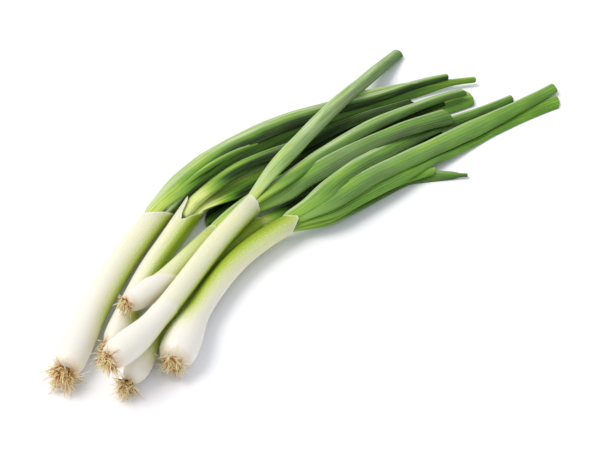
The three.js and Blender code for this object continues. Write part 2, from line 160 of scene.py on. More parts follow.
def smooth(low, high, x):
    """0 below low, 1 above high, and an eased rise in between."""
    t = np.clip((np.asarray(x, float) - low) / (high - low), 0, 1)
    return t * t * (3 - 2 * t)


def unit(v):
    """A vector, or each one of several, made 1 long."""
    return v / np.linalg.norm(v, axis=-1, keepdims=True)


def evened(values, width):
    """Evens out values along their first axis, with the two ends kept in place."""
    reach = int(3 * width)
    before = 2 * values[:1] - values[reach:0:-1]
    after = 2 * values[-1:] - values[-2 : -reach - 2 : -1]
    mirrored = np.concatenate([before, values, after])
    weights = np.exp(-0.5 * (np.arange(-reach, reach + 1) / width) ** 2)
    weights /= weights.sum()
    rows = np.stack([mirrored[i : i + len(values)] for i in range(2 * reach + 1)])
    return np.tensordot(weights, rows, axes=1)


def distances(path):
    """How far along a path each of its points is."""
    steps = np.linalg.norm(np.diff(path, axis=0), axis=1)
    return np.concatenate([[0], np.cumsum(steps)])


def read_strand(node, rounder, trim=0.0):
    """The middle line of a long thin solid, cut across at even stations, with its half width,
    half thickness and roll. trim is the length at its far end that isn't part of the tube."""
    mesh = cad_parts[node].data
    corners = np.array([v.co[:] for v in mesh.vertices])
    mesh.calc_loop_triangles()
    triangles = corners[np.array([t.vertices[:] for t in mesh.loop_triangles])]

    def cut(point, along):
        """Points of the section across the solid at a point."""
        height = (triangles - point) @ along
        found = []
        for i, j in ((0, 1), (1, 2), (2, 0)):
            crossing = height[:, i] * height[:, j] < 0
            share = (height[crossing, i] / (height[crossing, i] - height[crossing, j]))[:, None]
            found.append(triangles[crossing, i] * (1 - share) + triangles[crossing, j] * share)
        found = np.concatenate(found)
        return found[np.linalg.norm(found - point, axis=1) < SECTION_REACH]

    def across(along):
        """The ways to the left and up, across the solid."""
        left = unit(np.cross(UP, along))
        return left, np.cross(along, left)

    def heights(end, along):
        """How far the corners round an end of the middle line lie beyond it."""
        near = np.linalg.norm(corners - end, axis=1) < END_REACH
        return ((corners - end) @ along)[near]

    def straighten(values):
        """Carries on straight over the ends, where a cut across isn't whole."""
        for k in range(skipped[0] - 1, -1, -1):
            values[k] = 2 * values[k + 1] - values[k + 2]
        for k in range(len(values) - skipped[1], len(values)):
            values[k] = 2 * values[k - 1] - values[k - 2]

    # the middle line, which starts straight, just inside the two ends
    spread = corners - corners.mean(0)
    axis = np.linalg.svd(spread, full_matrices=False)[2][0]
    axis *= np.sign(axis[0])
    first, last = corners[(corners @ axis).argmin()], corners[(corners @ axis).argmax()]
    count = int(np.linalg.norm(last - first) / STATION) + 1
    skipped = 1 + int(BLUNT / STATION), 1 + int((BLUNT + trim) / STATION)
    path = first + np.linspace(0.004, 0.996, count)[:, None] * (last - first)
    for _ in range(PASSES):
        along = unit(np.gradient(path, axis=0))
        for k in range(skipped[0], count - skipped[1]):
            section = cut(path[k], along[k])
            for way in across(along[k]):
                reach = (section - path[k]) @ way
                path[k] = path[k] + way * (reach.max() + reach.min()) / 2
        straighten(path)
        steps = distances(path)
        even = np.linspace(0, steps[-1], count)
        path = np.stack([np.interp(even, steps, path[:, i]) for i in range(3)], axis=1)

    along = unit(np.gradient(path, axis=0))
    before = heights(path[0], along[0]).min()
    after = heights(path[-1], along[-1]).max()

    # the width across each section, measured all round, and the ellipse that fits it best
    angles = np.radians(np.arange(0, 180, CALIPER_STEP))
    waves = np.stack([np.ones_like(angles), np.cos(2 * angles), np.sin(2 * angles)], axis=1)
    fits = []
    for point, direction in zip(path, along):
        left, over = across(direction)
        section = cut(point, direction) - point
        if len(section) < FEWEST_POINTS:
            fits.append(fits[-1] if fits else np.full(3, np.nan))
            continue
        ways = np.cos(angles)[:, None] * left + np.sin(angles)[:, None] * over
        reach = section @ ways.T
        fits.append(np.linalg.lstsq(waves, (reach.max(0) - reach.min(0)) ** 2, rcond=None)[0])
    fits = np.array(fits)
    whole = ~np.isnan(fits[:, 0])
    fits[~whole] = fits[whole][0]
    if trim:
        fits[-skipped[1] :] = fits[-skipped[1] - 1]
    fits = evened(fits, EVENING)
    path = evened(path, EVENING)
    steps = distances(path)
    swing = np.hypot(fits[:, 1], fits[:, 2])
    return {
        "s": steps - before,
        "path": path,
        "wide": np.sqrt(fits[:, 0] + swing) / 2 * rounder,
        "thick": np.sqrt(np.maximum(fits[:, 0] - swing, THINNEST_SQUARED)) / 2 * rounder,
        "roll": np.unwrap(np.arctan2(fits[:, 2], fits[:, 1])) / 2,
        "length": steps[-1] - before + after - trim,
    }


def sample(strand, s):
    """The strand's middle, frame and section at the distances s along it."""
    s = np.asarray(s, float)
    inside = np.clip(s, strand["s"][0], min(strand["s"][-1], strand["length"]))
    step = 1.5 * MM

    def middle(x):
        parts = [np.interp(x, strand["s"], strand["path"][:, i]) for i in range(3)]
        return np.stack(parts, axis=-1)

    centre = middle(inside)
    along = unit(middle(inside + step) - middle(inside - step))
    centre = centre + along * (s - inside)[..., None]
    left = unit(np.cross(UP, along))
    over = np.cross(along, left)
    values = [np.interp(inside, strand["s"], strand[key]) for key in ("wide", "thick", "roll")]
    return centre, along, left, over, values


def ring_points(strand, s, x, y, lowest):
    """Points of the strand's surface: x and y are their places across its section, in metres,
    measured along its width and its thickness. They never go below the height lowest."""
    centre, _, left, over, (_, _, roll) = sample(strand, s)
    turn_x, turn_y = np.cos(roll), np.sin(roll)
    across = x * turn_x - y * turn_y
    above = x * turn_y + y * turn_x
    points = centre + left * across[..., None] + over * above[..., None]
    points[..., 2] = np.maximum(points[..., 2], lowest)
    return points


def wrap_skin(points, layers, uv):
    """A closed skin through rings of points. It starts as a flat grid with a row for each ring,
    is wrapped round them, and is welded along its seam and at its two ends. layers are named
    numbers kept at each point, and uv is the size that the pattern gets at each point."""
    rows, columns = points.shape[:2]
    bm = bmesh.new()
    kept = {name: bm.verts.layers.float.new(name) for name in layers}
    uv_layer = bm.loops.layers.uv.new("skin")
    bmesh.ops.create_grid(bm, x_segments=columns, y_segments=rows - 1, size=0.5)
    place = {}
    for vertex in bm.verts:
        column = round((vertex.co.x + 0.5) * columns)
        row = round((vertex.co.y + 0.5) * (rows - 1))
        place[vertex] = (row, column)
        vertex.co = points[row, column % columns]
        for name, layer in kept.items():
            vertex[layer] = float(layers[name][row, column % columns])
    for face in bm.faces:
        for loop in face.loops:
            row, column = place[loop.vert]
            loop[uv_layer].uv = (uv[0][row], column / columns * uv[1])
    bmesh.ops.remove_doubles(bm, verts=bm.verts, dist=1e-7)
    bmesh.ops.recalc_face_normals(bm, faces=bm.faces)
    return bm


def finish_piece(bm, name, material, nodes):
    """Makes the bmesh a piece of the bunch that stands for the given nodes."""
    mesh = bpy.data.meshes.new(name)
    bm.to_mesh(mesh)
    bm.free()
    mesh.shade_smooth()
    mesh.materials.append(material)
    piece = bpy.data.objects.new(name, mesh)
    scene.collection.objects.link(piece)
    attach(piece, "root")
    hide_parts(*nodes)
    return piece


# The onions from left to right. collar is the length of the solid's rim, white the length below
# which the skin is white, and tint how green it is at the mouth. The lime settings are a painted
# shade: the side on which the skin is painted greener where it lies in the shade of its neighbours
# (0 is the left, 90 the top), how much and how far round. margin says where a sheath's free edge
# lies, how thick it is and how pale. rim is the height of the torn rim at angles round the mouth,
# flare how far it stands off there, and rim_pale how pale it is. torn says where the outermost
# skin ends further down: the side on which it is longest, its middle distance, how much it slants
# and its thickness. The brown patches are painted shade where the bulb touches a neighbour: their
# place and how dark they are. Lengths are in millimetres, and angles in degrees, except for how
# far round the lime shade reaches, in radians.
SHANKS = {
    "onion_1": {
        "collar": 5, "white": 20, "tint": 0.2, "shaded_lime": (192, 0.8, 0.85), "margin": (60, 0.15, 0.15),
        "rim": {12: -3, 60: -4, 102: -2, 150: 4, 192: 9, 282: 3},
        "flare": {12: 0.3, 192: 0.5},
    },
    "onion_2": {
        "collar": 8, "white": 12, "tint": 0.22, "shaded_lime": (170, 0.9, 0.95), "margin": (97, 0.2, 0.1),
        "rim": {
            0: 3, 20: 7, 45: 9, 62: 5, 80: -5, 97: -10, 112: -8, 133: -3, 160: 2, 185: 7, 200: 11,
            215: 8, 240: 2, 290: 0,
        },
        "flare": {20: 0.3, 45: 0.6, 97: 0.1, 160: 0.2, 200: 0.4, 290: 0},
    },
    "onion_3": {
        "collar": 4, "white": 18, "tint": 0.6, "shaded_lime": (190, 0.35, 0.85),
        "margin": (150, 0.15, 0.1),
        "brown_patches": (200, 13, 1.0), "torn": (195, 26, 7, 0.6),
        "rim": {0: 2, 90: 4, 180: -3, 270: 0},
        "flare": {0: 0.2},
    },
    "onion_4": {
        "collar": 6, "white": 22, "tint": 0.3, "shaded_lime": (208, 0.75, 0.7), "margin": (196, 0.25, 0.3),
        "brown_patches": (170, 3, 0.3), "torn": (210, 45, 3, 0.3),
        "rim": {0: 2, 23: 3, 60: 5, 90: 4, 112: 3, 125: 3, 150: 2, 203: 2, 270: 0},
        "flare": {23: 0.2, 112: 0.3, 203: 0.5},
    },
    "onion_5": {
        "collar": 5, "white": 14, "tint": 0.6, "shaded_lime": (150, 0.7, 1.2), "margin": (60, 0.3, 0.6),
        "rim_pale": 0.1,
        "brown_patches": (150, 10, 0.4),
        "rim": {20: 3, 90: 6, 150: 4, 203: -2, 300: 0},
        "flare": {0: 0.2, 203: 0.3},
    },
    "onion_6": {
        "collar": 6, "white": 18, "tint": 0.34, "shaded_lime": (42, 0.85, 1.2), "margin": (37, 0.4, 0.9),
        "brown_patches": (22, 13, 0.7),
        "rim": {20: -2, 60: 1, 100: 4, 112: 6, 128: 6, 167: 1, 220: -2, 300: -2},
        "flare": {60: 0.1, 109: 0.4, 167: 0.4, 215: 1.0, 260: 0.4, 300: 0.2},
    },
}
SKIN_STEP = 1.6 * MM
SKIN_COLUMNS = 96
SKIN_GIRTH = 60  # the size of the skin's pattern all the way round, in millimetres
TURN = 0.15 * MM  # between the last rings on both sides of a thin end
RIM_WALL = 0.3 * MM  # the sheath at its rim, thinner than the solid's
INNER_WALL = 0.9 * MM  # how much thicker the sheaths get together, further down in the mouth
RIM_HUG = 0.35 * MM  # how closely the mouth draws in round its leaves
RIM_PALE = 0.6  # how pale most rims are
RIM_REACH = 16 * MM  # length over which the rim is drawn out
MOUTH_BELOW, MOUTH_ABOVE = 9 * MM, 6 * MM  # where it draws in and flares, from the solid's end
MOUTH_DEPTH = 14 * MM
MOUTH_RINGS = 8
BASE_START = 0.35 * MM  # where the base's rim is, from the solid's start
BASE_RINGS = 7
BASE_DOME = 1.6 * MM  # how far the base bulges out in its middle
BASE_REACH = 7 * MM  # length over which the bulb rounds in to its base
BASE_NARROWED = 0.26  # how much narrower the base is than the solid's
BASE_STAIN = 0.7  # how brown it is there
EDGE_WINDING = 0.35  # how far a sheath's free edge winds round on its way up, in radians
EDGE_WANDER, WANDER_LENGTH = 0.06, 9 * MM
EDGE_LINE = 0.04  # width of the pale line along it, in radians
RIPPLE = 0.012  # how far a shank is from round
RIPPLE_LENGTH = 17 * MM
TORN_EDGE = 0.6 * MM  # half the length over which a torn skin thins out to nothing
TORN_SWELL = 14 * MM  # length over which it lifts off the skin below
PATCH_ROUND, PATCH_LENGTH = 0.5, 5 * MM  # half a brown patch's size round the shank and along it


def round_the_mouth(values, angles):
    """Values given at some angles, in degrees, joined by straight lines all the way round."""
    keys = sorted(values)
    before, after = keys[-1] - 360, keys[0] + 360
    heights = [values[keys[-1]], *(values[key] for key in keys), values[keys[0]]]
    return np.interp(np.degrees(angles) % 360, [before, *keys, after], heights)


def wrapped(angle):
    """The same angle, from minus to plus half a turn."""
    return (angle + np.pi) % (2 * np.pi) - np.pi


def shank_skin(strand, shape):
    """The skin of a bulb and its shank, from the middle of the base up to the rim and back down
    inside the mouth."""
    length = strand["length"]
    angles = 2 * np.pi * (np.arange(SKIN_COLUMNS) + 0.5) / SKIN_COLUMNS - np.pi / 2
    rim = round_the_mouth(shape["rim"], angles) * MM
    flare = round_the_mouth(shape["flare"], angles) * MM

    outside = np.append(np.linspace(BASE_START, length - TURN, int(length / SKIN_STEP)), length)
    inside = np.linspace(length - TURN, length - MOUTH_DEPTH, MOUTH_RINGS)
    stations = np.concatenate([np.full(BASE_RINGS, BASE_START), outside, inside, inside[-1:]])
    inner = np.concatenate([np.zeros(BASE_RINGS + len(outside)), np.ones(len(inside) + 1)])[:, None]
    scale = np.ones((len(stations), 1))
    scale[:BASE_RINGS, 0] = np.linspace(0, 0.97, BASE_RINGS)
    scale[-1] = 0
    drawn = smooth(length - RIM_REACH, length, stations)[:, None]
    s = stations[:, None] + rim * drawn
    s[:BASE_RINGS] -= BASE_DOME * (1 - scale[:BASE_RINGS] ** 2)
    s[-1] = stations[-1]  # the inside closes in one point

    # the tube, its rounded base and its mouth
    radius = np.interp(s, strand["s"], (strand["wide"] + strand["thick"]) / 2)
    radius = radius * (1 - BASE_NARROWED * (1 - np.clip(s / BASE_REACH, 0, 1)) ** 2)
    wall = RIM_WALL + INNER_WALL * (1 - smooth(length - 12 * MM, length - 2 * MM, s))
    at_mouth = smooth(length - MOUTH_BELOW, length + MOUTH_ABOVE, s)
    radius = radius - inner * wall + (flare - RIM_HUG) * at_mouth

    # the free edge of a sheath, lapped over the one below
    margin_at, margin_step, margin_pale = shape["margin"]
    edge = np.radians(margin_at) + EDGE_WINDING * smooth(0, length, s)
    edge = edge + EDGE_WANDER * np.sin(s / WANDER_LENGTH)
    off_edge = wrapped(angles - edge)
    lapped = smooth(-0.05, 0.05, off_edge) * (1 - smooth(0.2, 1.6, off_edge))
    grown = smooth(0.25 * length, 0.6 * length, s)  # the bulb itself is smooth and round
    radius = radius + margin_step * MM * lapped * grown * (1 - inner)
    radius = radius * (1 + RIPPLE * np.sin(3 * angles + s / RIPPLE_LENGTH) * grown)

    # the outermost skin, torn off further down
    torn, torn_step = np.zeros_like(s), 0
    if "torn" in shape:
        torn_at, torn_s, slant, torn_step = shape["torn"]
        ragged = 0.4 * np.sin(5 * angles) + 0.3 * np.sin(9 * angles + 1)
        edge_s = (torn_s + slant * np.cos(angles - np.radians(torn_at)) + ragged) * MM
        torn = smooth(-TORN_EDGE, TORN_EDGE, s - edge_s)
        radius = radius + torn_step * MM * (1 - torn) * smooth(edge_s - TORN_SWELL, edge_s, s)

    radius = radius * scale
    points = ring_points(
        strand, s, radius * np.cos(angles), radius * np.sin(angles), inner * RIM_WALL
    )

    # how green, how pale and how brown it is
    # Painted shade: the skin is painted lime green on the side where it lies in the shade of its
    # neighbours.
    shaded_lime_at, shaded_lime, spread = shape["shaded_lime"]
    painted_lime_shade = shaded_lime * np.exp(-((wrapped(angles - np.radians(shaded_lime_at)) / spread) ** 2))
    white = shape["white"] * MM
    greening = smooth(white, length, s)
    green = shape["tint"] * greening + painted_lime_shade * smooth(white * 0.4, white * 2.2, s)
    green = green + 0.4 * torn_step * torn * (1 - greening)  # the skin below a torn one
    line = margin_pale * np.exp(-((off_edge / EDGE_LINE) ** 2)) * grown
    at_rim = smooth(length - 2 * MM, length - 0.3 * MM, stations)[:, None]
    line = line + shape.get("rim_pale", RIM_PALE) * at_rim
    stain_and_shade = BASE_STAIN * (1 - smooth(0.5 * MM, 4 * MM, s)) * (1 - inner)
    # Brown patches where the bulb touches a neighbour: painted shade, added to the real brown round
    # the base.
    if "brown_patches" in shape:
        patch_at, patch_s, patch_dark = shape["brown_patches"]
        round_off = wrapped(angles - np.radians(patch_at)) / PATCH_ROUND
        along_off = (s - patch_s * MM) / PATCH_LENGTH
        stain_and_shade = stain_and_shade + patch_dark * np.exp(-(round_off**2)) * np.exp(-(along_off**2))
    layers = {"green": np.clip(green, 0, 1), "line": np.clip(line, 0, 1), "stain_and_shade": stain_and_shade}
    return wrap_skin(points, layers, (stations / MM, SKIN_GIRTH))


def set_tones(ramp_node, tones):
    """Gives a colour ramp its stops, which are places along it with hex colours."""
    stops = ramp_node.color_ramp.elements
    for index, (at, colour) in enumerate(tones.items()):
        stop = stops[index] if index < 2 else stops.new(at)
        stop.position = at
        stop.color = linear(colour)


# Settings of nodes that reckon with numbers and that mix colours.
MULTIPLY_ADD = {"operation": "MULTIPLY_ADD"}
MULTIPLY_CLAMPED = {"operation": "MULTIPLY", "use_clamp": True}
SUBTRACT_CLAMPED = {"operation": "SUBTRACT", "use_clamp": True}
COLOURS = {"data_type": "RGBA"}

# Fresh onion skin: smooth, moist and a little see-through, so that it glows softly and has a broad
# sheen. Its streaks are as far apart as real ones, about a millimetre round the bulb and half of
# that round the shank.
STREAKS = (0.03, 1.1, 1)  # to a millimetre of the pattern, along it and round
MOTTLES = 0.9
onion_skin, tree, shader = new_material("fresh_onion_skin")
green = add_node(tree, "ShaderNodeAttribute", {"attribute_name": "green"}).outputs["Fac"]
line = add_node(tree, "ShaderNodeAttribute", {"attribute_name": "line"}).outputs["Fac"]
stain_and_shade = add_node(tree, "ShaderNodeAttribute", {"attribute_name": "stain_and_shade"}).outputs["Fac"]
skin_map = add_node(tree, "ShaderNodeUVMap", {"uv_map": "skin"}).outputs["UV"]
stretched = add_node(tree, "ShaderNodeMapping", Vector=skin_map, Scale=STREAKS).outputs[0]
streaks = add_node(
    tree, "ShaderNodeTexNoise", Vector=stretched, Scale=1.0, Detail=4.0, Roughness=0.6
).outputs["Fac"]
mottles = add_node(
    tree, "ShaderNodeTexNoise", Vector=skin_map, Scale=MOTTLES, Detail=3.0
).outputs["Fac"]
streaked = add_node(tree, "ShaderNodeMath", MULTIPLY_ADD, i0=streaks, i1=0.3, i2=green).outputs[0]
mottled = add_node(
    tree, "ShaderNodeMath", MULTIPLY_ADD, i0=mottles, i1=0.44, i2=streaked
).outputs[0]
centred = add_node(tree, "ShaderNodeMath", SUBTRACT_CLAMPED, i0=mottled, i1=0.38).outputs[0]
tones = add_node(tree, "ShaderNodeValToRGB", Fac=centred)
SKIN_TONES = {0.0: "f1ede1", 0.22: "eae8c4", 0.45: "d3dc94", 0.72: "afc244", 1.0: "86a018"}
set_tones(tones, SKIN_TONES)
EDGE_COLOUR, STAIN_AND_SHADE_COLOUR = linear("f2f4d8"), linear("cda66e")
with_edges = add_node(
    tree, "ShaderNodeMix", COLOURS, i0=line, i6=tones.outputs[0], i7=EDGE_COLOUR
).outputs[2]
# Mottled brown: the real brown round the base, and painted shade where the bulbs touch.
brown_patches = add_node(tree, "ShaderNodeMath", MULTIPLY_CLAMPED, i0=stain_and_shade, i1=mottles).outputs[0]
skin_colour = add_node(tree, "ShaderNodeMix", COLOURS, i0=brown_patches, i6=with_edges, i7=STAIN_AND_SHADE_COLOUR)
tree.links.new(skin_colour.outputs[2], shader.inputs["Base Color"])
ribs = add_node(tree, "ShaderNodeBump", Height=streaks, Strength=0.35, Distance=0.4 * MM)
tree.links.new(ribs.outputs[0], shader.inputs["Normal"])
shader.inputs["Roughness"].default_value = 0.34
shader.inputs["IOR"].default_value = 1.4
shader.inputs["Subsurface Weight"].default_value = 0.35
shader.inputs["Subsurface Radius"].default_value = (1.0, 1.0, 0.5)
shader.inputs["Subsurface Scale"].default_value = 3 * MM

shank_lines = {}
for onion, shape in SHANKS.items():
    shank_lines[onion] = read_strand(f"{onion}_bulb", ROUNDER["shank"], shape["collar"] * MM)
    shank_lines[onion]["roll"] *= 0  # a round tube has none
    skin = shank_skin(shank_lines[onion], shape)
    finish_piece(skin, f"{onion}_skin", onion_skin, [f"{onion}_bulb"])

# ------------------------------------------------------------------------------------------
# The roots: a tuft of dry, straw-coloured rootlets on each root plate. They stick out at the
# plate's rim, and droop and curl as they dry. Those in the middle are brown stubs.
# ------------------------------------------------------------------------------------------

PLATE_SHARE = 0.47  # the plate's radius over the bulb's
PLATE_DOME = 1.6  # how far the roots' feet stand out in the plate's middle, in millimetres
PLATE_FLATNESS = 0.3
ROOTLETS = 210
ROOTLET_RADIUS = 0.42 * MM
ROOTLET_RINGS = 6
ROOTLET_TAPER = 0.65  # how much thinner it is at its end
ROOTLET_SUNK = 0.8  # how deep it starts in the plate, in millimetres
ROOTLET_LOWEST = 0.35 * MM  # height of its middle line where it lies on the table
ROOT_LENGTHS = {
    "onion_1": 15, "onion_2": 7, "onion_3": 7, "onion_4": 10, "onion_5": 10, "onion_6": 9,
}
SHORTEST = 0.45  # the shortest rootlet's length over the longest one's
STUB = 0.35  # the length of those in the plate's middle over that of those at its rim
LEAN, LEAN_SPREAD = math.radians(20), 0.15  # outwards at the plate's rim, and how it varies
CURL, CURL_A_RING = 1.15, 0.35
GATHERED = 0.26  # how much each rootlet bends back to the middle of the tuft, at each ring
FALL = (0.2, 0.9)  # how much it droops towards its end, from the least to the most
OLD_FOOT, YOUNG_END = 0.8, 0.45  # how much browner a rootlet's foot is, and paler its end

# One straight rod with three sides and its rings a metre apart. Every rootlet is bent from it.
template = bmesh.new()
bmesh.ops.create_circle(template, segments=3, radius=1, cap_ends=True)
rim_edges = list(template.edges)
for _ in range(1, ROOTLET_RINGS):
    grown = bmesh.ops.extrude_edge_only(template, edges=rim_edges)["geom"]
    rim_edges = [e for e in grown if isinstance(e, bmesh.types.BMEdge) and len(e.link_faces) == 1]
    rim = list({vertex for edge in rim_edges for vertex in edge.verts})
    bmesh.ops.translate(template, verts=rim, vec=(0, 0, 1))
bmesh.ops.contextual_create(template, geom=rim_edges)
bmesh.ops.recalc_face_normals(template, faces=template.faces)
rootlet = bpy.data.meshes.new("rootlet")
template.to_mesh(rootlet)
template.free()


def root_tuft(onion, length, seed):
    """The plate and its rootlets. Each rootlet is the template, bent along a spine of its own."""
    rng = random.Random(seed)
    strand = shank_lines[onion]
    centre, along, left, over = (value[0] for value in sample(strand, [0.0])[:4])
    plate = PLATE_SHARE * max(strand["wide"].max(), strand["thick"].max())
    last = ROOTLET_RINGS - 1
    bm = bmesh.new()
    age = bm.verts.layers.float.new("age")
    for _ in range(ROOTLETS):
        turn = rng.uniform(0, 2 * math.pi)
        out = math.sqrt(rng.random())
        ray = left * math.cos(turn) + over * math.sin(turn)
        stubby = STUB + (1 - STUB) * smooth(0.1, 0.75, out)
        reach = length * MM * rng.uniform(SHORTEST, 1.0) * stubby
        lean = LEAN * out + rng.gauss(0, LEAN_SPREAD)
        foot = centre + ray * out * plate * 0.95 - along * PLATE_DOME * MM * (1 - out * out)
        curl = Vector([rng.gauss(0, 1) for _ in range(3)]) * CURL
        fall = rng.uniform(*FALL)
        spine = [Vector(foot) + Vector(along) * ROOTLET_SUNK * MM]
        way = Vector(-along * math.cos(lean) + ray * math.sin(lean))
        for ring in range(1, ROOTLET_RINGS):
            drooping = Vector((0, 0, -fall * ring / ROOTLET_RINGS))
            way = way + curl * CURL_A_RING - Vector(ray) * GATHERED * out + drooping
            way.normalize()
            point = spine[-1] + way * reach / last
            point.z = max(point.z, ROOTLET_LOWEST)
            spine.append(point)
        first = len(bm.verts)
        bm.from_mesh(rootlet)
        bm.verts.ensure_lookup_table()
        tone = rng.random() * 0.6 + 0.35 * (1 - out)
        for vertex in bm.verts[first:]:
            ring = round(vertex.co.z)
            ahead = spine[min(ring + 1, last)] - spine[max(ring - 1, 0)]
            side = ahead.cross(Vector((0.3, 0.2, 1))).normalized()
            rise = ahead.cross(side).normalized()
            thin = ROOTLET_RADIUS * (1 - ROOTLET_TAPER * ring / last) * (0.8 + 0.4 * tone)
            vertex.co = spine[ring] + side * vertex.co.x * thin + rise * vertex.co.y * thin
            vertex.co.z = max(vertex.co.z, 0.0)
            vertex[age] = tone + OLD_FOOT * (1 - ring / last) - YOUNG_END
    dome = bmesh.ops.create_uvsphere(bm, u_segments=24, v_segments=12, radius=plate * 0.98)["verts"]
    for vertex in dome:
        x, y, z = vertex.co
        vertex.co = centre + left * x + over * y + along * (z * PLATE_FLATNESS + 0.1 * MM)
        vertex[age] = 1.0
    return bm


# Dried rootlets: thin, tough skin without gloss, straw-coloured where young and brown where old,
# in patches of about a millimetre.
PATCHES = 0.9 / MM
rootlets, tree, shader = new_material("dry_rootlets")
age = add_node(tree, "ShaderNodeAttribute", {"attribute_name": "age"}).outputs["Fac"]
place = add_node(tree, "ShaderNodeTexCoord").outputs["Object"]
patches = add_node(tree, "ShaderNodeTexNoise", Vector=place, Scale=PATCHES, Detail=3.0).outputs["Fac"]
patched = add_node(tree, "ShaderNodeMath", MULTIPLY_ADD, i0=patches, i1=0.5, i2=age).outputs[0]
browned = add_node(tree, "ShaderNodeMath", SUBTRACT_CLAMPED, i0=patched, i1=0.25).outputs[0]
tones = add_node(tree, "ShaderNodeValToRGB", Fac=browned)
ROOT_TONES = {0.0: "fff0c0", 0.3: "f2d698", 0.6: "c68d48", 1.0: "3a200c"}
set_tones(tones, ROOT_TONES)
tree.links.new(tones.outputs[0], shader.inputs["Base Color"])
shader.inputs["Roughness"].default_value = 0.75
shader.inputs["Subsurface Weight"].default_value = 0.15
shader.inputs["Subsurface Scale"].default_value = 1 * MM

for seed, (onion, length) in enumerate(ROOT_LENGTHS.items()):
    tuft = root_tuft(onion, length, seed)
    finish_piece(tuft, f"{onion}_tuft", rootlets, [f"{onion}_roots"])
